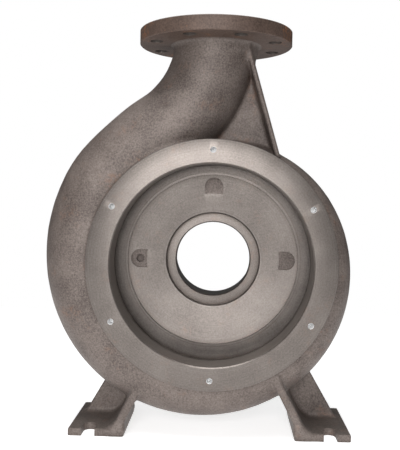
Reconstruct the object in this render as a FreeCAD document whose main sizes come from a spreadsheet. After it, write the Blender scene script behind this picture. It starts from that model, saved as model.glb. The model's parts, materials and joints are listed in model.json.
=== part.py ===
"""Volute casing of an end-suction centrifugal pump: one iron casting, machined all over its joints.

Frame: the origin is where the pump's shaft axis meets the face of the cover ring. +X points right and
+Z up as the cover side is seen, and +Y runs along the shaft towards the suction flange. Millimetres.
"""
import FreeCAD, Part
import os
import re
import Sketcher
from FreeCAD import Placement, Rotation, Vector

# Driving sizes. Angles are in degrees; a station's angle is counted clockwise from the top of the casing.
SIZES = {
    # cover ring and the bore that takes the cover's spigot
    "ring_radius": 175.0,
    "ring_thickness": 25.0,
    "bore_radius": 141.5,
    "bore_chamfer": 1.5,
    "cover_pitch_radius": 160.0,
    "cover_hole_radius": 4.25,
    "cover_hole_depth": 20.0,
    "cover_hole_count": 6,
    # volute: its mid plane, its walls, and the outside radius at each station round the shaft
    "mid_depth": 70.0,
    "wall": 9.5,
    "inlet_width": 54.0,
    "throat_height": 10.0,
    "scroll_root_radius": 136.0,
    "tongue_angle": -24.0,
    "radius_at_tongue": 161.0,
    "start_angle": 10.0,
    "radius_at_start": 179.5,
    "radius_at_45": 189.7,
    "radius_at_90": 201.8,
    "radius_at_135": 215.6,
    "radius_at_180": 227.3,
    "radius_at_225": 237.6,
    "radius_at_270": 244.4,
    "radius_at_315": 252.4,
    # neck: centre, half height and flow angle above the horizontal at its three bends
    "neck_low_x": -96.0,
    "neck_low_z": 173.5,
    "neck_low_slope": 37.0,
    "neck_mid_x": -54.5,
    "neck_mid_z": 204.0,
    "neck_mid_slope": 47.0,
    "neck_high_x": -23.0,
    "neck_high_z": 242.5,
    "neck_high_slope": 64.5,
    "neck_top_x": -4.5,
    "neck_top_drop": 48.0,
    "neck_top_slope": 83.0,
    "neck_half_height": 58.5,
    "neck_half_depth": 60.5,
    # discharge flange
    "discharge_height": 335.0,
    "discharge_bore_radius": 50.0,
    "discharge_bore_length": 34.0,
    "outlet_step": 1.5,
    "discharge_flange_radius": 110.0,
    "discharge_flange_thickness": 22.0,
    # suction nozzle and flange
    "suction_face_depth": 210.0,
    "suction_bore_radius": 62.5,
    "suction_flange_radius": 125.0,
    "suction_flange_thickness": 26.0,
    "nozzle_wall": 12.0,
    # holes, raised faces and fillets shared by both flanges; the holes keep their distance from the rim
    "flange_hole_radius": 9.5,
    "flange_hole_count": 8,
    "bolt_edge": 20.0,
    "raised_face": 2.0,
    "face_gap": 1.5,
    "flange_fillet": 10.0,
    # inside: land, dished disc, wear ring seat and suction eye
    "land_radius": 131.7,
    "land_width": 3.0,
    "land_height": 1.5,
    "disc_step": 4.0,
    "disc_dish": 7.0,
    "seat_radius": 70.5,
    "seat_depth": 10.5,
    "seat_chamfer": 1.5,
    "eye_radius": 56.5,
    "eye_length": 16.0,
    # three flat-bottomed pockets in the disc, the left one drilled
    "pocket_radius": 110.5,
    "pocket_width": 28.0,
    "pocket_count": 3,
    "pocket_depth": 3.5,
    "pocket_hole_radius": 6.0,
    "pocket_hole_depth": 7.0,
    # gusset between the neck and the start of the scroll
    "web_thickness": 10.0,
    "strap_thickness": 7.0,
    "strap_depth": 80.0,
    "strap_top_x": 47.0,
    "strap_foot_x": 94.0,
    "strap_foot_z": 153.0,
    # feet: a pad, a leaning leg along its inner side and a panel across its back
    "foot_height": 250.0,
    "foot_outer_x": 203.0,
    "foot_width": 80.0,
    "foot_front": 24.0,
    "foot_length": 130.0,
    "foot_thickness": 10.5,
    "leg_foot_x": 140.5,
    "leg_thickness": 13.5,
    "leg_lean": 0.516,
    "leg_top_z": 130.0,
    "leg_fillet": 20.0,
    "leg_back_depth": 112.0,
    "leg_back_z": 190.0,
    "panel_depth": 104.0,
    "panel_thickness": 10.0,
    "panel_foot_x": 192.0,
    "panel_lean": 0.575,
    "panel_top_z": 140.0,
    "slot_x": 173.7,
    "slot_radius": 9.75,
    "slot_length": 29.0,
}

doc = FreeCAD.newDocument("volute_casing")
sheet = doc.addObject("Spreadsheet::Sheet", "sizes")
for row, (alias, number) in enumerate(SIZES.items(), start=1):
    sheet.set(f"A{row}", alias)
    sheet.set(f"B{row}", str(number))
    sheet.setAlias(f"B{row}", alias)
probe = doc.addObject("Spreadsheet::Sheet", "probe")
doc.recompute()


def formula(text):
    """The same formula with each driving size written as a reference to the sheet."""
    return re.sub(r"\b(" + "|".join(SIZES) + r")\b", r"sizes.\1", text)


def value(text):
    """What a formula in the driving sizes comes to now, worked out in a cell of the probe sheet."""
    probe.set("A1", "=" + formula(text))
    probe.recompute()
    return float(probe.get("A1"))


def new_body(name):
    body = doc.addObject("PartDesign::Body", name)
    body.Label = name
    return body


def new_sketch(body, name, role, offset=None):
    """A sketch on one of the body's own origin planes, moved and turned within that plane's axes."""
    sketch = body.newObject("Sketcher::SketchObject", name)
    plane = [item for item in body.Origin.OriginFeatures if item.Role == role][0]
    sketch.AttachmentSupport = [(plane, "")]
    sketch.MapMode = "FlatFace"
    if offset is not None:
        sketch.AttachmentOffset = offset
    return sketch


def tie(sketch, kind, where, text):
    """One dimension of a sketch, bound to a formula in the driving sizes."""
    number = sketch.addConstraint(Sketcher.Constraint(kind, *where, value(text)))
    label = f"size{number}"
    sketch.renameConstraint(number, label)
    sketch.setExpression(f"Constraints.{label}", formula(text))


def place_point(sketch, geometry, end, across, up):
    """Holds a point at (across, up) from the sketch's origin."""
    tie(sketch, "DistanceX", (-1, 1, geometry, end), across)
    tie(sketch, "DistanceY", (-1, 1, geometry, end), up)


def outline(sketch, corners):
    """A closed outline of straight lines; each corner is a pair of formulas."""
    points = [Vector(value(across), value(up), 0) for across, up in corners]
    count = len(points)
    lines = [sketch.addGeometry(Part.LineSegment(points[i], points[(i + 1) % count])) for i in range(count)]
    for i, line in enumerate(lines):
        sketch.addConstraint(Sketcher.Constraint("Coincident", line, 2, lines[(i + 1) % count], 1))
        place_point(sketch, line, 1, *corners[i])


def circle(sketch, across, up, radius):
    number = sketch.addGeometry(Part.Circle(Vector(value(across), value(up), 0), Vector(0, 0, 1), value(radius)))
    place_point(sketch, number, 3, across, up)
    tie(sketch, "Radius", (number,), radius)


def ellipse(sketch, across, up, half_width, half_height):
    """An ellipse wider than it is high, with its long axis level in the sketch."""
    x, y, a, b = (value(text) for text in (across, up, half_width, half_height))
    shape = Part.Ellipse(Vector(x + a, y, 0), Vector(x, y + b, 0), Vector(x, y, 0))
    number = sketch.addGeometry(shape)
    sketch.exposeInternalGeometry(number)
    long_axis, short_axis = number + 1, number + 2
    place_point(sketch, number, 3, across, up)
    sketch.addConstraint(Sketcher.Constraint("Horizontal", long_axis))
    tie(sketch, "Distance", (long_axis,), f"2 * ({half_width})")
    tie(sketch, "Distance", (short_axis,), f"2 * ({half_height})")


def revolve(body, sketch, axis="H_Axis", angle=360.0):
    feature = body.newObject("PartDesign::Revolution", sketch.Name + "_turned")
    feature.Profile = sketch
    feature.ReferenceAxis = (sketch, [axis])
    feature.Angle = angle
    sketch.Visibility = False
    doc.recompute()
    return feature


def pad(body, sketch, length, reverse=False, midplane=False):
    feature = body.newObject("PartDesign::Pad", sketch.Name + "_pad")
    feature.Profile = sketch
    feature.setExpression("Length", formula(length))
    feature.Reversed = reverse
    feature.SideType = "Symmetric" if midplane else "One side"
    sketch.Visibility = False
    doc.recompute()
    return feature


def pocket(body, sketch, length, midplane=False):
    """Cuts a sketch out of the body and makes sure that metal was taken away."""
    before = body.Tip.Shape.Volume
    feature = body.newObject("PartDesign::Pocket", sketch.Name + "_cut")
    feature.Profile = sketch
    feature.setExpression("Length", formula(length))
    feature.SideType = "Symmetric" if midplane else "One side"
    sketch.Visibility = False
    doc.recompute()
    assert feature.Shape.Volume < before - 1.0, f"{feature.Name} cuts nothing"
    return feature


def ring_pattern(body, features, axis_role, count, angle=360.0, reverse=False):
    pattern = body.newObject("PartDesign::PolarPattern", features[0].Name + "_ring")
    pattern.Originals = features
    axis = [item for item in body.Origin.OriginFeatures if item.Role == axis_role][0]
    pattern.Axis = (axis, [""])
    pattern.Angle = angle
    pattern.Reversed = reverse
    pattern.setExpression("Occurrences", formula(count))
    body.Tip = pattern
    doc.recompute()
    return pattern


def turned_edge(shape, depth, radius):
    """Name of the round edge of a turned shape at a place along the shaft and a radius."""
    for number, edge in enumerate(shape.Edges, start=1):
        if isinstance(edge.Curve, Part.Circle):
            if abs(edge.Curve.Center.y - depth) < 0.01 and abs(edge.Curve.Radius - radius) < 0.01:
                return f"Edge{number}"
    raise ValueError(f"no round edge at depth {depth}, radius {radius}")


def long_edge(shape, x, z):
    """Name of the straight edge of a shape that runs along the shaft at (x, z)."""
    for number, edge in enumerate(shape.Edges, start=1):
        ends = [vertex.Point for vertex in edge.Vertexes]
        if all(abs(end.x - x) < 0.01 and abs(end.z - z) < 0.01 for end in ends):
            return f"Edge{number}"
    raise ValueError(f"no edge along the shaft at x {x}, z {z}")


def fillet(body, base, edges, radius):
    feature = body.newObject("PartDesign::Fillet", base.Name + "_fillet")
    feature.Base = (base, edges)
    feature.setExpression("Radius", formula(radius))
    doc.recompute()
    return feature


DISCHARGE_PITCH = "discharge_flange_radius - bolt_edge"
SUCTION_PITCH = "suction_flange_radius - bolt_edge"
DISCHARGE_FACE = f"{DISCHARGE_PITCH} - flange_hole_radius - face_gap"
SUCTION_FACE = f"{SUCTION_PITCH} - flange_hole_radius - face_gap"

# ---------------------------------------------------------------- scroll and neck, outside and core
STATIONS = [("start_angle", "radius_at_start")] + [(str(a), f"radius_at_{a}") for a in range(45, 316, 45)]
NECK = [("neck_low_x", "neck_low_z", "neck_low_slope"),
        ("neck_mid_x", "neck_mid_z", "neck_mid_slope"),
        ("neck_high_x", "neck_high_z", "neck_high_slope"),
        ("neck_top_x", "discharge_height - neck_top_drop", "neck_top_slope")]


def half_height(radius):
    return f"(({radius}) - scroll_root_radius) / 2"


def half_depth(radius):
    """The section is a little deeper than high, and never much narrower than the inlet."""
    return f"(({half_height(radius)})^4 + (inlet_width / 2 + wall - 3)^4)^0.25"


def scroll_section(body, name, angle, radius, inset):
    """A section of the scroll in a plane through the shaft, at an angle clockwise from the top."""
    turn = Placement(Vector(0, 0, 0), Rotation(Vector(1, 0, 0), value(angle)))
    sketch = new_sketch(body, name, "YZ_Plane", turn)
    sketch.setExpression("AttachmentOffset.Rotation.Angle", formula(angle))
    ellipse(sketch, "mid_depth", f"(({radius}) + scroll_root_radius) / 2",
            f"{half_depth(radius)} - ({inset})", f"{half_height(radius)} - ({inset})")
    return sketch


def neck_section(body, name, x, z, slope, inset):
    """A section of the neck, square to the flow."""
    turn = Placement(Vector(0, value(z), value(x)), Rotation(Vector(1, 0, 0), -value(slope)))
    sketch = new_sketch(body, name, "YZ_Plane", turn)
    sketch.setExpression("AttachmentOffset.Base.y", formula(z))
    sketch.setExpression("AttachmentOffset.Base.z", formula(x))
    sketch.setExpression("AttachmentOffset.Rotation.Angle", formula(f"-({slope})"))
    ellipse(sketch, "mid_depth", "0", f"neck_half_depth - ({inset})", f"neck_half_height - ({inset})")
    return sketch


def discharge_section(body, name, height, inset):
    """The round section under the discharge flange, a step inside the collar and the machined bore."""
    turn = Placement(Vector(0, value(height), 0), Rotation(Vector(1, 0, 0), -90))
    sketch = new_sketch(body, name, "YZ_Plane", turn)
    sketch.setExpression("AttachmentOffset.Base.y", formula(height))
    circle(sketch, "mid_depth", "0", f"discharge_bore_radius + wall - outlet_step - ({inset})")
    return sketch


def loft(body, name, sections):
    feature = body.newObject("PartDesign::AdditiveLoft", name)
    feature.Profile = sections[0]
    feature.Sections = sections[1:]
    for sketch in sections:
        sketch.Visibility = False
    doc.recompute()
    return feature


def scroll_and_neck(name, inset):
    """The spiral tube from the tongue round to the discharge flange, drawn in from its outside by inset."""
    body = new_body(name)
    sections = [scroll_section(body, f"{name}_scroll_{i}", angle, radius, inset)
                for i, (angle, radius) in enumerate(STATIONS)]
    sections += [neck_section(body, f"{name}_neck_{i}", *station, inset) for i, station in enumerate(NECK)]
    sections.append(discharge_section(body, f"{name}_outlet", "discharge_height - discharge_bore_length + 6", inset))
    loft(body, f"{name}_loft", sections)
    first = scroll_section(body, f"{name}_tongue", "tongue_angle", "radius_at_tongue", inset)
    second = scroll_section(body, f"{name}_tongue_end", *STATIONS[0], inset)
    loft(body, f"{name}_tongue_loft", [first, second])
    return body


outer_tube = scroll_and_neck("outer_tube", "0")
flow_core = scroll_and_neck("flow_core", "wall")

# ---------------------------------------------------------------- turned casting: ring, drum, back wall, nozzle
INLET_FRONT = "mid_depth - inlet_width / 2"
INLET_BACK = "mid_depth + inlet_width / 2"
THROAT_RADIUS = "bore_radius + throat_height"
DRUM_RADIUS = "bore_radius + throat_height + wall"
BACK_WALL = f"{INLET_BACK} + wall"
SEAT_FLOOR = f"{INLET_BACK} - land_height + disc_step + disc_dish + seat_depth"
NOZZLE_RADIUS = "suction_bore_radius + nozzle_wall"
NOZZLE_START = f"{SEAT_FLOOR} + wall"
SUCTION_BACK = "suction_face_depth - suction_flange_thickness"

turned = new_body("drum_and_nozzle")
profile = new_sketch(turned, "drum_profile", "YZ_Plane")
outline(profile, [
    ("0", "0"),
    ("0", "ring_radius"),
    ("ring_thickness", "ring_radius"),
    ("ring_thickness", DRUM_RADIUS),
    (BACK_WALL, DRUM_RADIUS),
    (f"{BACK_WALL} + disc_step", "land_radius"),
    (NOZZLE_START, NOZZLE_RADIUS),
    (SUCTION_BACK, NOZZLE_RADIUS),
    (SUCTION_BACK, "suction_flange_radius"),
    ("suction_face_depth - raised_face", "suction_flange_radius"),
    ("suction_face_depth - raised_face", SUCTION_FACE),
    ("suction_face_depth", SUCTION_FACE),
    ("suction_face_depth", "0"),
])
drum = revolve(turned, profile)
hollow_corners = [("ring_thickness", DRUM_RADIUS), (NOZZLE_START, NOZZLE_RADIUS), (SUCTION_BACK, NOZZLE_RADIUS)]
fillet(turned, drum, [turned_edge(drum.Shape, value(depth), value(radius)) for depth, radius in hollow_corners],
       "flange_fillet")

# ---------------------------------------------------------------- discharge flange with its collar
UNDERSIDE = "discharge_height - discharge_flange_thickness"
NECK_RADIUS = "discharge_bore_radius + wall"

discharge = new_body("discharge_flange")
profile = new_sketch(discharge, "discharge_profile", "XZ_Plane")
outline(profile, [
    ("0", f"{UNDERSIDE} - flange_fillet - raised_face"),
    (NECK_RADIUS, f"{UNDERSIDE} - flange_fillet - raised_face"),
    (NECK_RADIUS, UNDERSIDE),
    ("discharge_flange_radius", UNDERSIDE),
    ("discharge_flange_radius", "discharge_height - raised_face"),
    (DISCHARGE_FACE, "discharge_height - raised_face"),
    (DISCHARGE_FACE, "discharge_height"),
    ("0", "discharge_height"),
])
disc = revolve(discharge, profile, axis="V_Axis")
collar = [f"Edge{number}" for number, edge in enumerate(disc.Shape.Edges, start=1)
          if isinstance(edge.Curve, Part.Circle) and abs(edge.Curve.Center.z - value(UNDERSIDE)) < 0.01
          and abs(edge.Curve.Radius - value(NECK_RADIUS)) < 0.01]
fillet(discharge, disc, collar, "flange_fillet")
discharge.setExpression("Placement.Base.y", formula("mid_depth"))

# ---------------------------------------------------------------- gusset: web and strap
gusset = new_body("gusset")
profile = new_sketch(gusset, "web_profile", "XZ_Plane")
outline(profile, [
    ("strap_top_x - 2 * strap_thickness", UNDERSIDE),
    ("strap_top_x - strap_thickness / 2", UNDERSIDE),
    ("strap_foot_x - strap_thickness / 2", "strap_foot_z"),
    ("wall", "scroll_root_radius + wall"),
    ("-wall", "radius_at_start"),
])
pad(gusset, profile, "web_thickness", midplane=True)
profile = new_sketch(gusset, "strap_profile", "XZ_Plane")
outline(profile, [
    ("strap_top_x - strap_thickness", UNDERSIDE),
    ("strap_top_x", UNDERSIDE),
    ("strap_foot_x", "strap_foot_z"),
    ("strap_foot_x - strap_thickness", "strap_foot_z"),
])
pad(gusset, profile, "strap_depth", midplane=True)
gusset.setExpression("Placement.Base.y", formula("mid_depth"))

# ---------------------------------------------------------------- feet
PAD_TOP = "foot_height - foot_thickness"
FOOT_INNER = "foot_outer_x - foot_width"
LEG_RUN = f"leg_lean * ({PAD_TOP} - leg_top_z)"
PANEL_RUN = f"panel_lean * ({PAD_TOP} - panel_top_z)"

right_foot = new_body("right_foot")
profile = new_sketch(right_foot, "leg_profile", "XZ_Plane")
outline(profile, [
    (FOOT_INNER, "-foot_height"),
    ("foot_outer_x", "-foot_height"),
    ("foot_outer_x", f"-({PAD_TOP})"),
    ("leg_foot_x", f"-({PAD_TOP})"),
    (f"leg_foot_x - {LEG_RUN}", "-leg_top_z"),
    (f"leg_foot_x - leg_thickness - {LEG_RUN}", "-leg_top_z"),
    ("leg_foot_x - leg_thickness", f"-({PAD_TOP})"),
])
leg = pad(right_foot, profile, "foot_length", reverse=True)
leg = fillet(right_foot, leg, [long_edge(leg.Shape, value("leg_foot_x"), -value(PAD_TOP))], "leg_fillet")

profile = new_sketch(right_foot, "panel_profile", "XZ_Plane", Placement())
profile.setExpression("AttachmentOffset.Base.z", formula("-(panel_depth - foot_front)"))
outline(profile, [
    ("leg_foot_x - leg_thickness / 2", f"-({PAD_TOP} + foot_thickness / 2)"),
    ("panel_foot_x + panel_lean * foot_thickness / 2", f"-({PAD_TOP} + foot_thickness / 2)"),
    (f"panel_foot_x - {PANEL_RUN}", "-panel_top_z"),
    (f"leg_foot_x - leg_thickness / 2 - leg_lean * ({PAD_TOP} - panel_top_z)", "-panel_top_z"),
])
pad(right_foot, profile, "panel_thickness", reverse=True)

profile = new_sketch(right_foot, "leg_back_profile", "YZ_Plane")
outline(profile, [
    ("foot_length", f"-({PAD_TOP})"),
    ("foot_length + wall", f"-({PAD_TOP})"),
    ("foot_length + wall", "wall - leg_top_z"),
    ("leg_back_depth - foot_front", "wall - leg_top_z"),
    ("leg_back_depth - foot_front", "-leg_back_z"),
])
pocket(right_foot, profile, "4 * foot_outer_x", midplane=True)


def slot(name, mouth, end):
    """A U slot through the pad, open at its mouth and round at its end."""
    profile = new_sketch(right_foot, f"{name}_sides", "XY_Plane")
    outline(profile, [("slot_x - slot_radius", mouth), ("slot_x + slot_radius", mouth),
                      ("slot_x + slot_radius", end), ("slot_x - slot_radius", end)])
    pocket(right_foot, profile, "foot_height + 1")
    profile = new_sketch(right_foot, f"{name}_end", "XY_Plane")
    circle(profile, "slot_x", end, "slot_radius")
    pocket(right_foot, profile, "foot_height + 1")


slot("front_slot", "-1", "slot_length - slot_radius")
slot("back_slot", "foot_length + 1", "foot_length - slot_length + slot_radius")
right_foot.setExpression("Placement.Base.y", formula("foot_front"))

left_foot = doc.addObject("Part::Mirroring", "left_foot")
left_foot.Source = right_foot
left_foot.Normal = Vector(1, 0, 0)

# ---------------------------------------------------------------- machined chamber, seat, eye and suction bore
LAND = f"{INLET_BACK} - land_height"
DISC_EDGE = f"{LAND} + disc_step"
DISC_EYE = f"{DISC_EDGE} + disc_dish"
EYE_END = f"{SEAT_FLOOR} + eye_length"

chamber = new_body("chamber")
profile = new_sketch(chamber, "chamber_profile", "YZ_Plane")
outline(profile, [
    ("-1", "0"),
    ("-1", "bore_radius + bore_chamfer + 1"),
    ("bore_chamfer", "bore_radius"),
    (INLET_FRONT, "bore_radius"),
    (INLET_FRONT, THROAT_RADIUS),
    (INLET_BACK, THROAT_RADIUS),
    (INLET_BACK, "land_radius"),
    (LAND, "land_radius"),
    (LAND, "land_radius - land_width"),
    (DISC_EDGE, "land_radius - land_width"),
    (DISC_EYE, "seat_radius + seat_chamfer"),
    (f"{DISC_EYE} + seat_chamfer", "seat_radius"),
    (SEAT_FLOOR, "seat_radius"),
    (SEAT_FLOOR, "eye_radius + seat_chamfer"),
    (f"{SEAT_FLOOR} + seat_chamfer", "eye_radius"),
    (EYE_END, "eye_radius"),
    (f"{EYE_END} + 3 * (suction_bore_radius - eye_radius)", "suction_bore_radius"),
    ("suction_face_depth + 1", "suction_bore_radius"),
    ("suction_face_depth + 1", "0"),
])
revolve(chamber, profile)

discharge_bore = doc.addObject("Part::Cylinder", "discharge_bore")
discharge_bore.setExpression("Radius", formula("discharge_bore_radius"))
discharge_bore.setExpression("Height", formula("discharge_bore_length + 1"))
discharge_bore.setExpression("Placement.Base.y", formula("mid_depth"))
discharge_bore.setExpression("Placement.Base.z", formula("discharge_height - discharge_bore_length"))

# ---------------------------------------------------------------- drilled holes and pockets
def drilled_ring(name, role, axis_role, pitch, radius, depth, count, reverse):
    """A tool for a ring of holes round the axis of the body, the first one straight up its sketch."""
    body = new_body(name)
    profile = new_sketch(body, f"{name}_circle", role)
    circle(profile, "0", pitch, radius)
    ring_pattern(body, [pad(body, profile, depth, reverse=reverse)], axis_role, count)
    return body


cover_holes = drilled_ring("cover_holes", "XZ_Plane", "Y_Axis", "cover_pitch_radius", "cover_hole_radius",
                           "cover_hole_depth + 1", "cover_hole_count", True)
cover_holes.Placement = Placement(Vector(0, -1, 0), Rotation())

suction_holes = drilled_ring("suction_holes", "XZ_Plane", "Y_Axis", SUCTION_PITCH, "flange_hole_radius",
                             "suction_flange_thickness + 2", "flange_hole_count", True)
suction_holes.Placement = Placement(Vector(0, 0, 0), Rotation(Vector(0, 1, 0), 22.5))
suction_holes.setExpression("Placement.Rotation.Angle", formula("180 / flange_hole_count"))
suction_holes.setExpression("Placement.Base.y", formula(f"{SUCTION_BACK} - 1"))

discharge_holes = drilled_ring("discharge_holes", "XY_Plane", "Z_Axis", DISCHARGE_PITCH,
                               "flange_hole_radius", "discharge_flange_thickness + 2", "flange_hole_count", False)
discharge_holes.Placement = Placement(Vector(0, 0, 0), Rotation(Vector(0, 0, 1), 22.5))
discharge_holes.setExpression("Placement.Rotation.Angle", formula("180 / flange_hole_count"))
discharge_holes.setExpression("Placement.Base.y", formula("mid_depth"))
discharge_holes.setExpression("Placement.Base.z", formula(f"{UNDERSIDE} - 1"))


POCKET_FLOOR = f"{DISC_EDGE} + pocket_depth"

disc_pockets = new_body("disc_pockets")
profile = new_sketch(disc_pockets, "pocket_sides", "XZ_Plane")
outline(profile, [
    ("seat_radius", "-pocket_width / 2"),
    ("pocket_radius", "-pocket_width / 2"),
    ("pocket_radius", "pocket_width / 2"),
    ("seat_radius", "pocket_width / 2"),
])
sides = pad(disc_pockets, profile, "disc_step + pocket_depth", reverse=True)
profile = new_sketch(disc_pockets, "pocket_end", "XZ_Plane")
circle(profile, "pocket_radius", "0", "pocket_width / 2")
end = pad(disc_pockets, profile, "disc_step + pocket_depth", reverse=True)
ring_pattern(disc_pockets, [sides, end], "Y_Axis", "pocket_count", angle=180.0, reverse=True)
disc_pockets.setExpression("Placement.Base.y", formula(LAND))

pocket_hole = doc.addObject("Part::Cylinder", "pocket_hole")
pocket_hole.Placement = Placement(Vector(0, 0, 0), Rotation(Vector(1, 0, 0), -90))
pocket_hole.setExpression("Radius", formula("pocket_hole_radius"))
pocket_hole.setExpression("Height", formula("disc_step + pocket_depth + pocket_hole_depth"))
pocket_hole.setExpression("Placement.Base.x", formula("-pocket_radius"))
pocket_hole.setExpression("Placement.Base.y", formula(LAND))

# ---------------------------------------------------------------- the casting, cored and then machined
cast_form = doc.addObject("Part::MultiFuse", "cast_form")
cast_form.Shapes = [outer_tube, turned, discharge, gusset, right_foot, left_foot]
casing = cast_form
for tool in (flow_core, chamber, discharge_bore, cover_holes, suction_holes, discharge_holes, disc_pockets,
             pocket_hole):
    cut = doc.addObject("Part::Cut", f"after_{tool.Name}")
    cut.Base = casing
    cut.Tool = tool
    cut.Refine = False
    casing = cut
casing.Label = "volute_casing"
doc.recompute()

faulty = [item.Name for item in doc.Objects if "Invalid" in item.State or "Error" in item.State]
assert not faulty, f"failed: {faulty}"
shape = casing.Shape
assert not shape.isNull() and shape.isValid() and len(shape.Solids) == 1, "the casing is not one sound solid"
os.makedirs("parts", exist_ok=True)
shape.exportStep(f"parts/{casing.Label}.step")
print("solids", len(shape.Solids), "faces", len(shape.Faces), "volume", round(shape.Volume))
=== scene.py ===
"""Dresses the volute casing: the blended casting skin, its machined faces and bores, finishes, light and camera.

Frame and units are the casing's own, in metres: the shaft runs along Y through the origin, the cover ring's face
lies at y = 0 and +Z is up.
"""
import json
import math

import bmesh
import bpy
import numpy as np
import openvdb
from mathutils import Matrix, Vector

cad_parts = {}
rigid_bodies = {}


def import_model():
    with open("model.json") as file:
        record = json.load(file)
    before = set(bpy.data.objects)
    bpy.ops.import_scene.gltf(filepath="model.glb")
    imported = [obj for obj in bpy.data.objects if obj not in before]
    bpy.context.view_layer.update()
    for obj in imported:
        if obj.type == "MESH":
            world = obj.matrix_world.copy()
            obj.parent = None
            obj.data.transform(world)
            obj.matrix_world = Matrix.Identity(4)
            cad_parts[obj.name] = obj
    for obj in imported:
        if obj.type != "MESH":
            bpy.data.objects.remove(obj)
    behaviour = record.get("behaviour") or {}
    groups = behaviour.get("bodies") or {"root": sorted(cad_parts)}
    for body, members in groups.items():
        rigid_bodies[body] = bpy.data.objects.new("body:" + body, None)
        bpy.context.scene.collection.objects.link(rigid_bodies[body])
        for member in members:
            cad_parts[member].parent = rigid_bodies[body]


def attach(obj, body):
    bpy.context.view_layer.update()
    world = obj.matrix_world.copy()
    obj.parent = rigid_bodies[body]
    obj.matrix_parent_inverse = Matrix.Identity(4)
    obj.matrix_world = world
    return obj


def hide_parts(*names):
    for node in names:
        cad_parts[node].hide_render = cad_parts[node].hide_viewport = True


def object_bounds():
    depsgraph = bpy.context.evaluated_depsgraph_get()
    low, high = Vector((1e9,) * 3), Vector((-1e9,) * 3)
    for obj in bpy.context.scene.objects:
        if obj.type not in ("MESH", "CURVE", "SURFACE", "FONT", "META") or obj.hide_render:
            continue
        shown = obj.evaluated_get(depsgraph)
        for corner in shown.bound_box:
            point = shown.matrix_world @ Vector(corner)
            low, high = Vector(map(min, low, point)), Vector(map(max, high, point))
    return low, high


MM = 0.001

for left_over in list(bpy.data.objects):
    bpy.data.objects.remove(left_over)
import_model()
cad_low, cad_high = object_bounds()

# ------------------------------------------------------------------ sizes, in millimetres unless they are angles
MID = 70                           # mid plane of the volute
WALL = 9.5
RING_RADIUS, RING_THICKNESS = 175, 25
BORE_RADIUS, BORE_CHAMFER = 141.5, 1.5
COVER_PITCH, COVER_HOLE, COVER_HOLE_DEPTH = 160, 4.25, 20
DRUM_RADIUS, THROAT_RADIUS = 161, 151.5
INLET_FRONT, INLET_BACK = 43, 97
LAND_OUTER, LAND_INNER, LAND_FACE = 131.7, 128.7, 95.5
DISC_EDGE, DISC_EYE = 99.5, 106.5  # depth of the dished disc at its rim and at the seat
SEAT_RADIUS, SEAT_FLOOR, SEAT_CHAMFER = 70.5, 117, 1.5
EYE_RADIUS, EYE_END = 56.5, 133
NOZZLE_RADIUS, SUCTION_BORE = 74.5, 62.5
SUCTION_FACE, SUCTION_BACK, SUCTION_RIM = 210, 184, 125
DISCHARGE_TOP, DISCHARGE_UNDER, DISCHARGE_RIM = 335, 313, 110
DISCHARGE_BORE, DISCHARGE_BORE_END, COLLAR_RADIUS = 50, 301, 59.5
FLANGE_HOLE, BOLT_EDGE, FACE_GAP, RAISED_FACE, RIM_EDGE = 9.5, 20, 1.5, 2, 1
POCKET_REACH, POCKET_HALF_WIDTH, POCKET_FLOOR = 110.5, 14, 103
POCKET_HOLE, POCKET_HOLE_FLOOR = 6, 110
FLOOR, PAD_TOP = -250, -239.5
PAD_INNER, PAD_OUTER, FOOT_FRONT, FOOT_BACK = 123, 203, 24, 154
LEG_INNER, LEG_OUTER, LEG_BACK, LEG_LEAN, LEG_TOP = 127, 140.5, 136, 0.516, -130
PANEL_OUTER, PANEL_FRONT, PANEL_BACK, PANEL_LEAN, PANEL_TOP = 192, 104, 114, 0.575, -140
SLOT_X, SLOT_HALF_WIDTH = 173.7, 9.75

# inner side of the scroll's tube, and its outside radius at angles clockwise from the top
SCROLL_ROOT, LEAST_HALF_DEPTH = 136, 33.5
SCROLL = [(10, 179.5), (45, 189.7), (90, 201.8), (135, 215.6), (180, 227.3), (225, 237.6), (270, 244.4), (315, 252.4)]
TONGUE = [(-24, 161), (-7, 170.5), (12, 180)]
# centre of the neck (x, z) at its bends, and inside the discharge flange
NECK = [(-96, 173.5), (-54.5, 204), (-23, 242.5), (-4.5, 287)]
OUTLET = [(0, 307), (0, 325)]
NECK_HALF_HEIGHT, NECK_HALF_DEPTH = 58.5, 60.5


# ------------------------------------------------------------------ small helpers
def metres(*pairs):
    """Outline or profile points given in millimetres."""
    return [(a * MM, b * MM) for a, b in pairs]


def link(obj):
    bpy.context.scene.collection.objects.link(obj)
    return obj


def mesh_object(name, points, faces, material=None):
    mesh = bpy.data.meshes.new(name)
    mesh.from_pydata([tuple(p) for p in points], [], [tuple(f) for f in faces])
    mesh.update()
    if material is not None:
        mesh.materials.append(material)
    return link(bpy.data.objects.new(name, mesh))


def outwards(obj):
    """Turns every face of a closed mesh to point out of the metal."""
    work = bmesh.new()
    work.from_mesh(obj.data)
    bmesh.ops.remove_doubles(work, verts=work.verts, dist=1e-6)
    bmesh.ops.recalc_face_normals(work, faces=work.faces)
    if work.calc_volume(signed=True) < 0:
        bmesh.ops.reverse_faces(work, faces=work.faces)
    work.to_mesh(obj.data)
    work.free()
    return obj


def applied(obj):
    """The object with its modifiers made into a plain mesh."""
    depsgraph = bpy.context.evaluated_depsgraph_get()
    mesh = bpy.data.meshes.new_from_object(obj.evaluated_get(depsgraph))
    obj.modifiers.clear()
    obj.data = mesh
    return obj


def discard(*objects):
    for obj in objects:
        bpy.data.objects.remove(obj)


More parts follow.
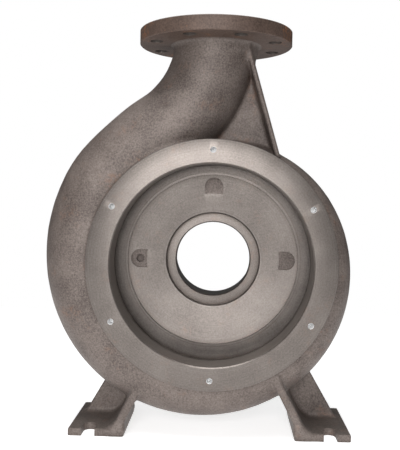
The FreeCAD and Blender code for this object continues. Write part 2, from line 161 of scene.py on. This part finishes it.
def turned(name, profile, axis="Y", centre=(0, 0, 0), sides=192, material=None):
    """A closed solid of revolution; the profile is (along the axis, radius) pairs, on the axis at both ends."""
    points, rings = [], []
    for along, radius in profile:
        ring = []
        for i in range(sides if radius > 1e-9 else 1):
            turn = 2 * math.pi * i / sides
            across, up = radius * math.cos(turn), radius * math.sin(turn)
            local = (across, along, up) if axis == "Y" else (across, up, along)
            ring.append(len(points))
            points.append([a + b for a, b in zip(local, centre)])
        rings.append(ring)
    faces = []
    for one, two in zip(rings, rings[1:]):
        for i in range(sides):
            j = (i + 1) % sides
            corners = [one[i % len(one)], one[j % len(one)], two[j % len(two)], two[i % len(two)]]
            faces.append(list(dict.fromkeys(corners)))
    return outwards(mesh_object(name, points, faces, material))


def prism(name, outline, near, far, plane="XZ", soften=0.0, material=None):
    """A straight-sided solid: an outline of (across, up) pairs carried from one depth to another."""
    def place(a, b, depth):
        return {"XZ": (a, depth, b), "XY": (a, b, depth), "YZ": (depth, a, b)}[plane]
    count = len(outline)
    points = [place(a, b, near) for a, b in outline] + [place(a, b, far) for a, b in outline]
    faces = [list(range(count)), list(range(2 * count - 1, count - 1, -1))]
    faces += [[i, (i + 1) % count, (i + 1) % count + count, i + count] for i in range(count)]
    obj = outwards(mesh_object(name, points, faces, material))
    if soften:
        bevel = obj.modifiers.new("softened", "BEVEL")
        bevel.width, bevel.segments, bevel.limit_method = soften, 3, "ANGLE"
        applied(obj)
    return obj


def smooth_path(knots, per_span=12):
    """A smooth run of rows through the knots (a Catmull-Rom curve in as many dimensions as a knot has)."""
    k = np.array(knots, float)
    k = np.vstack([2 * k[0] - k[1], k, 2 * k[-1] - k[-2]])
    rows = []
    for a, b, c, d in zip(k, k[1:], k[2:], k[3:]):
        for s in np.linspace(0, 1, per_span, endpoint=False):
            rows.append(0.5 * (2 * b + (c - a) * s + (2 * a - 5 * b + 4 * c - d) * s * s
                               + (3 * b - a - 3 * c + d) * s ** 3))
    rows.append(k[-2])
    return np.array(rows)


# ------------------------------------------------------------------ the volute's tube, grown along its centre line
def tube_tree():
    """Geometry nodes: sweeps an ellipse along a centre line whose points carry the section's half sizes."""
    tree = bpy.data.node_groups.new("volute_tube", "GeometryNodeTree")
    face = tree.interface
    face.new_socket("Centre line", in_out="INPUT", socket_type="NodeSocketGeometry")
    for label, default in (("Wall inset", 0.0), ("Mid depth", MID * MM)):
        face.new_socket(label, in_out="INPUT", socket_type="NodeSocketFloat").default_value = default
    face.new_socket("Sides", in_out="INPUT", socket_type="NodeSocketInt").default_value = 72
    face.new_socket("Tube", in_out="OUTPUT", socket_type="NodeSocketGeometry")
    node, wire = tree.nodes.new, tree.links.new
    given, result = node("NodeGroupInput"), node("NodeGroupOutput")

    def named(label):
        n = node("GeometryNodeInputNamedAttribute")
        n.data_type = "FLOAT"
        n.inputs["Name"].default_value = label
        return n.outputs["Attribute"]

    def arithmetic(kind, a, b):
        n = node("ShaderNodeMath")
        n.operation = kind
        wire(a, n.inputs[0])
        wire(b, n.inputs[1])
        return n.outputs[0]

    curve = node("GeometryNodeMeshToCurve")
    wire(given.outputs["Centre line"], curve.inputs[0])
    high = arithmetic("SUBTRACT", named("half_height"), given.outputs["Wall inset"])
    deep = arithmetic("SUBTRACT", named("half_depth"), given.outputs["Wall inset"])
    stretch = node("GeometryNodeCaptureAttribute")
    stretch.capture_items.new("FLOAT", "stretch")
    wire(curve.outputs[0], stretch.inputs[0])
    wire(arithmetic("DIVIDE", deep, high), stretch.inputs[1])
    section = node("GeometryNodeCurvePrimitiveCircle")
    section.inputs["Radius"].default_value = 1.0
    wire(given.outputs["Sides"], section.inputs["Resolution"])
    sweep = node("GeometryNodeCurveToMesh")
    wire(stretch.outputs[0], sweep.inputs["Curve"])
    wire(section.outputs[0], sweep.inputs["Profile Curve"])
    wire(high, sweep.inputs["Scale"])
    sweep.inputs["Fill Caps"].default_value = True
    at = node("GeometryNodeInputPosition")
    apart = node("ShaderNodeSeparateXYZ")
    wire(at.outputs[0], apart.inputs[0])
    off = arithmetic("SUBTRACT", apart.outputs["Y"], given.outputs["Mid depth"])
    spread = arithmetic("MULTIPLY", off, stretch.outputs[1])
    together = node("ShaderNodeCombineXYZ")
    wire(apart.outputs["X"], together.inputs["X"])
    wire(arithmetic("ADD", spread, given.outputs["Mid depth"]), together.inputs["Y"])
    wire(apart.outputs["Z"], together.inputs["Z"])
    moved = node("GeometryNodeSetPosition")
    wire(sweep.outputs[0], moved.inputs["Geometry"])
    wire(together.outputs[0], moved.inputs["Position"])
    whole = node("GeometryNodeRealizeInstances")
    wire(moved.outputs[0], whole.inputs[0])
    wire(whole.outputs[0], result.inputs[0])
    return tree


TUBE_TREE = tube_tree()


def set_inputs(modifier, **values):
    for item in modifier.node_group.interface.items_tree:
        if item.item_type == "SOCKET" and item.in_out == "INPUT" and item.name.replace(" ", "_") in values:
            modifier[item.identifier] = values[item.name.replace(" ", "_")]


def tube(name, rows, inset):
    points = [(x * MM, MID * MM, z * MM) for x, z, _, _ in rows]
    mesh = bpy.data.meshes.new(name)
    mesh.from_pydata(points, [(i, i + 1) for i in range(len(points) - 1)], [])
    for label, column in (("half_height", 2), ("half_depth", 3)):
        mesh.attributes.new(label, "FLOAT", "POINT").data.foreach_set("value", rows[:, column] * MM)
    obj = link(bpy.data.objects.new(name, mesh))
    grown = obj.modifiers.new("grown", "NODES")
    grown.node_group = TUBE_TREE
    set_inputs(grown, Wall_inset=inset)
    return outwards(applied(obj))


# ------------------------------------------------------------------ blending solids into one cast skin
VOXEL = 2.0 * MM
BAND = 11                          # reach of the distance fields, in voxels
GRID_LOW = [int(v) for v in np.floor(np.array(cad_low) / VOXEL) - 6]
GRID_HIGH = [int(v) for v in np.ceil(np.array(cad_high) / VOXEL) + 6]
GRID_SHAPE = [h - l + 1 for l, h in zip(GRID_LOW, GRID_HIGH)]


def distance(*objects):
    """Signed distance to a closed mesh on the casing's grid, negative in the metal; the objects are used up."""
    field = None
    for obj in objects:
        mesh = obj.data
        mesh.calc_loop_triangles()
        points = np.empty(len(mesh.vertices) * 3, np.float32)
        mesh.vertices.foreach_get("co", points)
        corners = np.empty(len(mesh.loop_triangles) * 3, np.int32)
        mesh.loop_triangles.foreach_get("vertices", corners)
        grid = openvdb.FloatGrid.createLevelSetFromPolygons(
            points.reshape(-1, 3), triangles=corners.reshape(-1, 3).astype(np.uint32),
            transform=openvdb.createLinearTransform(voxelSize=VOXEL), halfWidth=float(BAND))
        values = np.full(GRID_SHAPE, BAND * VOXEL, np.float32)
        grid.copyToArray(values, ijk=GRID_LOW)
        field = values if field is None else np.minimum(field, values)
    discard(*objects)
    return field


def join(a, b, radius):
    """Union of two fields with a round fillet of that radius between them."""
    reach_a, reach_b = np.maximum(radius - a, 0), np.maximum(radius - b, 0)
    return np.maximum(np.minimum(a, b), radius) - np.hypot(reach_a, reach_b)


def take_out(a, b, radius):
    """The first field without the second, its edges rounded to that radius."""
    return -join(-a, b, radius)


def skin(field, name):
    grid = openvdb.FloatGrid(float(BAND * VOXEL))
    grid.copyFromArray(np.ascontiguousarray(field), ijk=GRID_LOW)
    grid.transform = openvdb.createLinearTransform(voxelSize=VOXEL)
    points, triangles, quads = grid.convertToPolygons(isovalue=0.0, adaptivity=0.02)
    faces = [f[::-1] for f in triangles.tolist()] + [f[::-1] for f in quads.tolist()]
    return outwards(mesh_object(name, points.tolist(), faces))


SHRINK = 0.6                       # how far the skin lies inside a face that is machined afterwards


def radius_rounds(stations, step=15):
    """(angle, radius) pairs every step of degrees, on a smooth spiral through the stations."""
    spiral = smooth_path(stations)
    angles = np.arange(stations[0][0], stations[-1][0] + 1, step)
    return list(zip(angles, np.interp(angles, spiral[:, 0], spiral[:, 1])))


def tube_rows(stations):
    """Rows of x, z, half height and half depth at (angle, outside radius) stations round the shaft."""
    rows = []
    for angle, radius in stations:
        turn, middle, half = math.radians(angle), (radius + SCROLL_ROOT) / 2, (radius - SCROLL_ROOT) / 2
        deep = (half ** 4 + LEAST_HALF_DEPTH ** 4) ** 0.25
        rows.append((middle * math.sin(turn), middle * math.cos(turn), half, deep))
    return rows


main_rows = smooth_path(tube_rows(radius_rounds(SCROLL))
                        + [(x, z, NECK_HALF_HEIGHT, NECK_HALF_DEPTH) for x, z in NECK]
                        + [(x, z, COLLAR_RADIUS, COLLAR_RADIUS) for x, z in OUTLET], per_span=6)
tongue_rows = smooth_path(tube_rows(TONGUE))


def whole_tube(inset):
    """The scroll, the neck and the tongue, drawn in from their outside; the first two overlap a little."""
    middle, overlap = len(main_rows) // 2, 4
    return distance(tube("scroll_tube", main_rows[:middle + overlap], inset),
                    tube("neck_tube", main_rows[middle - overlap:], inset),
                    tube("tongue_tube", tongue_rows, inset))


def drum():
    """Drum, back wall, nozzle and the disc behind the machined ring."""
    ring_back, nozzle_end = RING_THICKNESS - SHRINK, SUCTION_BACK + 11
    return turned("drum", metres(
        (SHRINK, 0), (SHRINK, RING_RADIUS - SHRINK), (ring_back, RING_RADIUS - SHRINK), (ring_back, DRUM_RADIUS),
        (INLET_BACK + WALL, DRUM_RADIUS), (INLET_BACK + WALL + 4, LAND_OUTER), (SEAT_FLOOR + WALL, NOZZLE_RADIUS),
        (nozzle_end, NOZZLE_RADIUS), (nozzle_end, 0)))


def disc(name, low, high, radius, axis, centre=(0, 0, 0)):
    return turned(name, metres((low, 0), (low, radius), (high, radius), (high, 0)), axis=axis, centre=centre)


def throat():
    """The passage from the chamber into the tube, short of the back wall that is faced afterwards."""
    back = INLET_BACK - 0.8
    return turned("throat", metres((INLET_FRONT, 0), (INLET_FRONT, THROAT_RADIUS), (back, THROAT_RADIUS),
                                   (back, 138), (88, 134), (88, 0)))


def gusset():
    """The web between neck and scroll, and the strap across its free edge."""
    web = prism("web", metres((33, 315), (43.5, 315), (90.5, 153), (9.5, 145.5), (-9.5, 179.5)), 65 * MM, 75 * MM)
    strap = prism("strap", metres((40, DISCHARGE_UNDER), (47, DISCHARGE_UNDER), (94, 153), (87, 153)),
                  30 * MM, 110 * MM, soften=2 * MM)
    return join(distance(web), distance(strap), 6 * MM)


def foot(side):
    """One foot: the leg with its pad, and the panel across its back; side is 1 at the right and -1 at the left."""
    def piece(name, near, far, soften, *corners):
        outline = metres(*[(side * a, b) for a, b in corners])
        return distance(prism(name, outline, near * MM, far * MM, soften=soften * MM))

    run = LEG_LEAN * (LEG_TOP - PAD_TOP)
    panel_rise = PANEL_TOP - PAD_TOP
    leg = piece("leg", FOOT_FRONT, LEG_BACK, 2, (LEG_INNER, PAD_TOP), (LEG_OUTER, PAD_TOP),
                (LEG_OUTER - run, LEG_TOP), (LEG_INNER - run, LEG_TOP))
    pad = piece("pad", FOOT_FRONT, FOOT_BACK, 2, (PAD_INNER, FLOOR - 2), (PAD_OUTER, FLOOR - 2),
                (PAD_OUTER, PAD_TOP), (PAD_INNER, PAD_TOP))
    panel = piece("panel", PANEL_FRONT, PANEL_BACK, 1.5, (133, -244), (194.9, -244),
                  (PANEL_OUTER - PANEL_LEAN * panel_rise, PANEL_TOP), (133.7 - LEG_LEAN * panel_rise, PANEL_TOP))
    return join(join(leg, pad, 16 * MM), panel, 7 * MM)


DISCHARGE_CENTRE = (0, MID * MM, 0)
field = join(whole_tube(0.0), distance(drum()), 8 * MM)
for piece, fillet in (
        (disc("collar", DISCHARGE_BORE_END, 325, COLLAR_RADIUS, "Z", DISCHARGE_CENTRE), 4),
        (disc("top_disc", DISCHARGE_UNDER + SHRINK, DISCHARGE_TOP - 3, DISCHARGE_RIM - SHRINK, "Z",
              DISCHARGE_CENTRE), 9),
        (disc("back_disc", SUCTION_BACK + SHRINK, SUCTION_FACE - 3, SUCTION_RIM - SHRINK, "Y"), 9)):
    field = join(field, distance(piece), fillet * MM)
field = join(field, gusset(), 5 * MM)
field = join(field, np.minimum(foot(1), foot(-1)), 4 * MM)
hollow = np.minimum(whole_tube(WALL * MM), distance(throat()))
field = take_out(field, hollow, 3 * MM)
casting = skin(field, "casting")
del field, hollow


# ------------------------------------------------------------------ machined discs, bores, faces and holes
def ring_tree():
    """Geometry nodes: drills or other round tools evenly spaced on a circle about Z."""
    tree = bpy.data.node_groups.new("drill_ring", "GeometryNodeTree")
    face = tree.interface
    for label, default in (("Pitch radius", 0.1), ("Hole radius", 0.005), ("Length", 0.02), ("First angle", 0.0)):
        face.new_socket(label, in_out="INPUT", socket_type="NodeSocketFloat").default_value = default
    face.new_socket("Count", in_out="INPUT", socket_type="NodeSocketInt").default_value = 6
    face.new_socket("Metal", in_out="INPUT", socket_type="NodeSocketMaterial")
    face.new_socket("Tools", in_out="OUTPUT", socket_type="NodeSocketGeometry")
    node, wire = tree.nodes.new, tree.links.new
    given, result = node("NodeGroupInput"), node("NodeGroupOutput")
    circle, drill = node("GeometryNodeMeshCircle"), node("GeometryNodeMeshCylinder")
    spread = node("GeometryNodeInstanceOnPoints")
    wire(given.outputs["Count"], circle.inputs["Vertices"])
    wire(given.outputs["Pitch radius"], circle.inputs["Radius"])
    drill.inputs["Vertices"].default_value = 40
    wire(given.outputs["Hole radius"], drill.inputs["Radius"])
    wire(given.outputs["Length"], drill.inputs["Depth"])
    wire(circle.outputs[0], spread.inputs["Points"])
    wire(drill.outputs[0], spread.inputs["Instance"])
    turn, angle = node("GeometryNodeTransform"), node("ShaderNodeCombineXYZ")
    wire(given.outputs["First angle"], angle.inputs["Z"])
    wire(spread.outputs[0], turn.inputs["Geometry"])
    wire(angle.outputs[0], turn.inputs["Rotation"])
    whole, dressed = node("GeometryNodeRealizeInstances"), node("GeometryNodeSetMaterial")
    wire(turn.outputs[0], whole.inputs[0])
    wire(whole.outputs[0], dressed.inputs["Geometry"])
    wire(given.outputs["Metal"], dressed.inputs["Material"])
    wire(dressed.outputs[0], result.inputs[0])
    return tree


RING_TREE = ring_tree()


def drills(name, pitch, radius, length, count, first, place, metal):
    """A ring of drills as one mesh; place carries it from its own Z axis to the casing."""
    obj = link(bpy.data.objects.new(name, bpy.data.meshes.new(name)))
    spread = obj.modifiers.new("ring", "NODES")
    spread.node_group = RING_TREE
    set_inputs(spread, Pitch_radius=pitch, Hole_radius=radius, Length=length, First_angle=first, Count=count,
               Metal=metal)
    applied(obj)
    obj.data.transform(place)
    return outwards(obj)


def combine(base, tool, operation):
    """Boolean of two closed meshes; the tool's faces keep their own material, and the tool is used up."""
    cut = base.modifiers.new("cut", "BOOLEAN")
    cut.solver, cut.operation, cut.object = "MANIFOLD", operation, tool
    cut.material_mode = "TRANSFER"
    applied(base)
    if not base.data.polygons:
        raise RuntimeError(f"{operation} with {tool.name} left nothing")
    discard(tool)
    return base


def plain_metal(name, colour, roughness, metallic=0.3):
    material = bpy.data.materials.new(name)
    material.use_nodes = True
    shader = material.node_tree.nodes["Principled BSDF"]
    shader.inputs["Base Color"].default_value = (*colour, 1)
    shader.inputs["Roughness"].default_value = roughness
    shader.inputs["Metallic"].default_value = metallic
    return material


class Graph:
    """Short forms for adding and wiring nodes; a socket argument is another node's output or a plain value."""

    def __init__(self, tree):
        self.tree = tree

    def node(self, kind, inputs=(), **settings):
        made = self.tree.nodes.new(kind)
        for label, setting in settings.items():
            setattr(made, label, setting)
        for socket, given in dict(inputs).items():
            if isinstance(given, bpy.types.NodeSocket):
                self.tree.links.new(given, made.inputs[socket])
            else:
                made.inputs[socket].default_value = given
        return made

    def maths(self, kind, a, b=0.0, clamp=False):
        return self.node("ShaderNodeMath", {0: a, 1: b}, operation=kind, use_clamp=clamp).outputs[0]

    def remap(self, value, low, high, to_low=0.0, to_high=1.0):
        return self.node("ShaderNodeMapRange", {"Value": value, "From Min": low, "From Max": high, "To Min": to_low,
                                                "To Max": to_high}).outputs[0]

    def noise(self, where, scale, detail=3.0, rough=0.6):
        return self.node("ShaderNodeTexNoise", {"Vector": where, "Scale": scale, "Detail": detail,
                                                "Roughness": rough}).outputs[0]

    def mixed(self, share, a, b, kind="MIX"):
        mix = self.node("ShaderNodeMix", {0: share, 6: a, 7: b}, data_type="RGBA", blend_type=kind)
        return mix.outputs[2]


def effect(name, inputs, outputs, build):
    """A shared effect as a node group; build gets the graph and the group's inputs and returns its outputs."""
    tree = bpy.data.node_groups.new(name, "ShaderNodeTree")
    for label, kind, default in inputs:
        socket = tree.interface.new_socket(label, in_out="INPUT", socket_type=kind)
        if default is not None:
            socket.default_value = default
    for label in outputs:
        tree.interface.new_socket(label, in_out="OUTPUT", socket_type="NodeSocketFloat")
    graph = Graph(tree)
    given = tree.nodes.new("NodeGroupInput")
    result = tree.nodes.new("NodeGroupOutput")
    for label, socket in build(graph, given.outputs).items():
        tree.links.new(socket, result.inputs[label])
    return tree


PLACE = ("Place", "NodeSocketVector", None)


def sand(graph, given):
    fine = graph.noise(given["Place"], given["Grain scale"], 4.0, 0.7)
    patches = graph.noise(given["Place"], 22.0, 3.0, 0.5)
    shade = graph.maths("ADD", graph.maths("MULTIPLY", fine, 0.65), graph.maths("MULTIPLY", patches, 0.35))
    return {"Shade": graph.remap(shade, 0.34, 0.66), "Height": fine}


# Painted shade: darkens creases, corners and recesses by how closely the metal around shelters them (ambient
# occlusion), with a little noise.
def crevice_shade_nodes(graph, given):
    shelter = graph.node("ShaderNodeAmbientOcclusion", {"Distance": given["Reach"]}, samples=6).outputs["AO"]
    rough = graph.noise(given["Place"], 90.0, 2.0)
    depth = graph.maths("SUBTRACT", 1.0, shelter)
    return {"Painted_shade": graph.maths("MULTIPLY", depth, graph.remap(rough, 0.2, 0.7, 0.7, 1.3), clamp=True)}


# Painted light: lightens faces that look upwards, in soft patches, standing in for the overhead light falling on
# them.
def top_light_nodes(graph, given):
    facing = graph.node("ShaderNodeNewGeometry").outputs["Normal"]
    up = graph.node("ShaderNodeSeparateXYZ", {0: facing}).outputs["Z"]
    patches = graph.remap(graph.noise(given["Place"], 30.0, 3.0), 0.3, 0.7, 0.6, 1.0)
    return {"Painted_light": graph.maths("MULTIPLY", graph.remap(up, 0.55, 1.0), patches, clamp=True)}


def rust(graph, given):
    patches = graph.remap(graph.noise(given["Place"], 26.0, 4.0, 0.65), 0.56, 0.72)
    specks = graph.remap(graph.noise(given["Place"], 210.0, 2.0), 0.42, 0.62)
    return {"Bloom": graph.maths("MULTIPLY", patches, specks, clamp=True)}


def turning(graph, given):
    apart = graph.node("ShaderNodeSeparateXYZ", {0: given["Place"]})
    flat = graph.node("ShaderNodeCombineXYZ", {"X": apart.outputs["X"], "Y": apart.outputs["Z"]}).outputs[0]
    out = graph.node("ShaderNodeVectorMath", {0: flat}, operation="LENGTH").outputs["Value"]
    around = graph.node("ShaderNodeCombineXYZ", {"X": graph.maths("MULTIPLY", out, given["Marks"])}).outputs[0]
    marks = graph.noise(around, 1.0, 2.0, 0.6)
    return {"Groove": marks}


SAND = effect("sand_grain", [PLACE, ("Grain scale", "NodeSocketFloat", 420.0)], ("Shade", "Height"), sand)
CREVICE_SHADE = effect("crevice_dirt", [PLACE, ("Reach", "NodeSocketFloat", 0.007)], ("Painted_shade",), crevice_shade_nodes)
TOP_LIGHT = effect("settled_dust", [PLACE], ("Painted_light",), top_light_nodes)
RUST = effect("rust_bloom", [PLACE], ("Bloom",), rust)
TURNING = effect("turning_marks", [PLACE, ("Marks", "NodeSocketFloat", 900.0)], ("Groove",), turning)


# The first colour is rust, the iron's own; the second is painted light for upward-facing faces; the third is painted
# shade for creases.
RUST_COLOUR, PAINTED_LIGHT_COLOUR, PAINTED_SHADE_COLOUR = (0.27, 0.11, 0.045, 1), (0.42, 0.37, 0.33, 1), (0.035, 0.02, 0.014, 1)


def weathered_and_shaded(name, light, dark, roughness, metallic, bump, grooves=0.0, rust_share=0.5, painted_light_share=0.3,
              painted_shade_share=0.8):
    """An iron surface: two tones in the sand grain, then rust, painted light on upward-facing faces, painted shade in
    the crevices, and turning marks.
    """
    material = plain_metal(name, light, roughness, metallic)
    graph = Graph(material.node_tree)
    shader = material.node_tree.nodes["Principled BSDF"]
    place = graph.node("ShaderNodeTexCoord").outputs["Object"]

    def use(tree, **values):
        return graph.node("ShaderNodeGroup", {"Place": place, **values}, node_tree=tree).outputs

    grain = use(SAND)
    colour = graph.mixed(grain["Shade"], (*dark, 1), (*light, 1))
    groove = use(TURNING)["Groove"]
    if grooves:
        tone = graph.remap(groove, 0.3, 0.7, 0.82, 1.12)
        tint = graph.node("ShaderNodeCombineColor", {0: tone, 1: tone, 2: tone}).outputs[0]
        colour = graph.mixed(1.0, colour, tint, "MULTIPLY")
    # Rust is the iron's own colour; the other two passes paint light onto upward-facing faces and shade into creases.
    for tree, mask, share, tone in ((RUST, "Bloom", rust_share, RUST_COLOUR),
                                    (TOP_LIGHT, "Painted_light", painted_light_share, PAINTED_LIGHT_COLOUR),
                                    (CREVICE_SHADE, "Painted_shade", painted_shade_share, PAINTED_SHADE_COLOUR)):
        colour = graph.mixed(graph.maths("MULTIPLY", use(tree)[mask], share), colour, tone)
    graph.tree.links.new(colour, shader.inputs["Base Color"])
    height = graph.maths("ADD", graph.maths("MULTIPLY", grain["Height"], 1.0 - grooves),
                         graph.maths("MULTIPLY", groove, grooves))
    relief = graph.node("ShaderNodeBump", {"Strength": bump, "Distance": 0.6 * MM, "Height": height})
    graph.tree.links.new(relief.outputs[0], shader.inputs["Normal"])
    return material


CAST = weathered_and_shaded("cast_iron_skin", (0.225, 0.186, 0.166), (0.060, 0.044, 0.038), 0.55, 0.3, 0.9, rust_share=0.3,
                 painted_light_share=0.2, painted_shade_share=0.75)
RIM = weathered_and_shaded("flange_rim_iron", (0.14, 0.094, 0.074), (0.045, 0.028, 0.021), 0.58, 0.2, 0.5, rust_share=1.0)
TURNED = weathered_and_shaded("turned_iron", (0.205, 0.180, 0.164), (0.115, 0.098, 0.088), 0.36, 0.65, 0.4, grooves=0.8,
                   rust_share=0.15, painted_light_share=0.15, painted_shade_share=0.8)
# Near-white paint for the cover holes: a painted highlight standing in for the glare inside the tapped holes.
HOLE_GLARE = plain_metal("drilled_iron", (0.95, 0.95, 0.95), 0.6, 0.0)
casting.data.materials.append(CAST)


def unite(piece):
    combine(casting, piece, "UNION")


def cut_out(tool):
    combine(casting, tool, "DIFFERENCE")


def cover_ring():
    """The machined ring, its two outer edges eased by a millimetre."""
    ease, bend = 1, 0.3
    radius, back = RING_RADIUS, RING_THICKNESS
    return turned("cover_ring", metres(
        (0, 0), (0, radius - ease), (ease * bend, radius - ease * bend), (ease, radius), (back - ease, radius),
        (back - ease * bend, radius - ease * bend), (back, radius - ease), (back, 0)), material=TURNED)


def pipe_flange(name, back, face, rim, axis, centre, material):
    """A flange with its raised face, from its back to its face; the face ends a gap short of the bolt holes."""
    shoulder, raised = face - RAISED_FACE, rim - BOLT_EDGE - FLANGE_HOLE - FACE_GAP
    return turned(name, metres(
        (back, 0), (back, rim - RIM_EDGE), (back + RIM_EDGE, rim), (shoulder - RIM_EDGE, rim),
        (shoulder, rim - RIM_EDGE), (shoulder, raised + 0.3), (face - 0.3, raised), (face, raised - 0.3), (face, 0)),
        axis=axis, centre=centre, material=material)


def chamber():
    """All that is bored and faced from the cover side and from the suction side."""
    past = SUCTION_FACE + 1
    return turned("chamber", metres(
        (-1, 0), (-1, BORE_RADIUS + BORE_CHAMFER + 1), (BORE_CHAMFER, BORE_RADIUS), (50, BORE_RADIUS),
        (50, THROAT_RADIUS + 0.5), (INLET_BACK, THROAT_RADIUS + 0.5), (INLET_BACK, LAND_OUTER),
        (LAND_FACE, LAND_OUTER), (LAND_FACE, LAND_INNER), (DISC_EDGE, LAND_INNER),
        (DISC_EYE, SEAT_RADIUS + SEAT_CHAMFER), (DISC_EYE + SEAT_CHAMFER, SEAT_RADIUS), (SEAT_FLOOR, SEAT_RADIUS),
        (SEAT_FLOOR, EYE_RADIUS + SEAT_CHAMFER), (SEAT_FLOOR + SEAT_CHAMFER, EYE_RADIUS), (EYE_END, EYE_RADIUS),
        (EYE_END + 3 * (SUCTION_BORE - EYE_RADIUS), SUCTION_BORE), (past, SUCTION_BORE), (past, 0)), material=TURNED)


def discharge_bore():
    past, chamfer = DISCHARGE_TOP + 1, 1.2
    return turned("discharge_bore", metres(
        (DISCHARGE_BORE_END, 0), (DISCHARGE_BORE_END, DISCHARGE_BORE), (DISCHARGE_TOP - chamfer, DISCHARGE_BORE),
        (past, DISCHARGE_BORE + chamfer + 1), (past, 0)), axis="Z", centre=DISCHARGE_CENTRE, material=TURNED)


def slot_tool(name, mouth, length, half_width, low, high, plane="XY", turn=0.0):
    """A tool for a slot that starts square at its mouth and ends round."""
    outline = [(-half_width, 0), (-half_width, length - half_width)]
    outline += [(-half_width * math.cos(a), length - half_width + half_width * math.sin(a))
                for a in np.linspace(0, math.pi, 21)[1:-1]]
    outline += [(half_width, length - half_width), (half_width, 0)]
    c, s = math.cos(turn), math.sin(turn)
    placed = metres(*[(mouth[0] + a * c - b * s, mouth[1] + a * s + b * c) for a, b in outline])
    return prism(name, placed, low * MM, high * MM, plane=plane, material=CAST)


unite(cover_ring())
unite(pipe_flange("discharge_flange", DISCHARGE_UNDER, DISCHARGE_TOP, DISCHARGE_RIM, "Z", DISCHARGE_CENTRE, RIM))
unite(pipe_flange("suction_flange", SUCTION_BACK, SUCTION_FACE, SUCTION_RIM, "Y", (0, 0, 0), CAST))
cut_out(prism("baseplate_cut", metres((-300, -300), (300, -300), (300, FLOOR), (-300, FLOOR)), -50 * MM, 250 * MM,
              material=TURNED))
cut_out(chamber())
cut_out(discharge_bore())

HALF_GAP = math.radians(22.5)      # the flange holes straddle the centre lines
ALONG_SHAFT = Matrix.Rotation(math.radians(90), 4, "X")
# The cover holes are lined with the near-white painted highlight.
for name, pitch, radius, length, count, first, place, metal in (
        ("cover_holes", COVER_PITCH, COVER_HOLE, 2 * (COVER_HOLE_DEPTH + 1), 6, math.radians(30),
         Matrix.Translation((0, -1 * MM, 0)) @ ALONG_SHAFT, HOLE_GLARE),
        ("discharge_holes", DISCHARGE_RIM - BOLT_EDGE, FLANGE_HOLE, 30, 8, HALF_GAP,
         Matrix.Translation((0, MID * MM, 324 * MM)), TURNED),
        ("suction_holes", SUCTION_RIM - BOLT_EDGE, FLANGE_HOLE, 32, 8, HALF_GAP,
         Matrix.Translation((0, 197 * MM, 0)) @ ALONG_SHAFT, TURNED)):
    cut_out(drills(name, pitch * MM, radius * MM, length * MM, count, first, place, metal))

for x in (SLOT_X, -SLOT_X):
    for name, mouth, turn in (("front_slot", FOOT_FRONT - 1, 0.0), ("back_slot", FOOT_BACK + 1, math.pi)):
        cut_out(slot_tool(name, (x, mouth), 30, SLOT_HALF_WIDTH, FLOOR - 10, PAD_TOP + 4.5, turn=turn))
for turn in (math.radians(90), 0.0, math.radians(-90)):
    start = (-70 * math.sin(turn), 70 * math.cos(turn))
    cut_out(slot_tool("disc_pocket", start, POCKET_REACH + POCKET_HALF_WIDTH - 70, POCKET_HALF_WIDTH, 90,
                      POCKET_FLOOR, plane="XZ", turn=turn))
cut_out(turned("pocket_hole", metres((100, 0), (100, POCKET_HOLE), (POCKET_HOLE_FLOOR, POCKET_HOLE),
                                     (POCKET_HOLE_FLOOR, 0)),
               centre=(-POCKET_REACH * MM, 0, 0), sides=40, material=CAST))
casting.name = casting.data.name = "volute_casting"
casting.data.set_sharp_from_angle(angle=math.radians(32))
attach(casting, "root")
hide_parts("volute_casing")

# ------------------------------------------------------------------ floor, light and camera
white = plain_metal("pale_floor", (0.8, 0.8, 0.8), 0.9, 0.0)
paper = white.node_tree.nodes["Principled BSDF"]
paper.inputs["Emission Color"].default_value = (1, 1, 1, 1)
paper.inputs["Emission Strength"].default_value = 0.7
corners = [(-1.3, -1.3), (1.3, -1.3), (1.3, 1.1), (-1.3, 1.1)]
floor = mesh_object("floor", [(x, y, FLOOR * MM) for x, y in corners], [(0, 1, 2, 3)], white)


def area_light(name, place, aim, size, power):
    lamp = bpy.data.lights.new(name, "AREA")
    lamp.shape, lamp.size, lamp.size_y, lamp.energy = "RECTANGLE", size[0], size[1], power
    obj = link(bpy.data.objects.new(name, lamp))
    obj.location = place
    obj.rotation_euler = (Vector(aim) - Vector(place)).to_track_quat("-Z", "Y").to_euler()
    return obj


area_light("overhead", (-0.15, -0.35, 1.5), (0, 0.05, 0), (1.0, 0.8), 22)
area_light("front", (-0.15, -1.9, 0.45), (0, 0, 0), (0.9, 0.8), 27)
world = bpy.data.worlds.new("studio")
world.use_nodes = True
studio = Graph(world.node_tree)
seen = studio.node("ShaderNodeLightPath").outputs["Is Camera Ray"]
backdrop = world.node_tree.nodes["Background"]
backdrop.inputs["Color"].default_value = (1, 1, 1, 1)
world.node_tree.links.new(studio.remap(seen, 0.0, 1.0, 0.1, 1.0), backdrop.inputs["Strength"])
bpy.context.scene.world = world

YAW, PITCH, ROLL = math.radians(-1.3), math.radians(2.7), math.radians(1.02)
forward = Vector((math.sin(YAW) * math.cos(PITCH), math.cos(YAW) * math.cos(PITCH), -math.sin(PITCH)))
right = Vector((math.cos(YAW), -math.sin(YAW), 0))
upright = right.cross(forward)
across = right * math.cos(ROLL) + upright * math.sin(ROLL)
up = upright * math.cos(ROLL) - right * math.sin(ROLL)
lens = bpy.data.cameras.new("camera")
lens.lens, lens.sensor_width, lens.shift_x, lens.shift_y = 56.0, 36.0, -10 / 450, 3 / 450
camera = link(bpy.data.objects.new("camera", lens))
camera.matrix_world = Matrix((across, up, -forward)).transposed().to_4x4()
camera.location = (0.019, -0.960, 0.098)
bpy.context.scene.camera = camera
bpy.context.scene.view_settings.view_transform = "Standard"
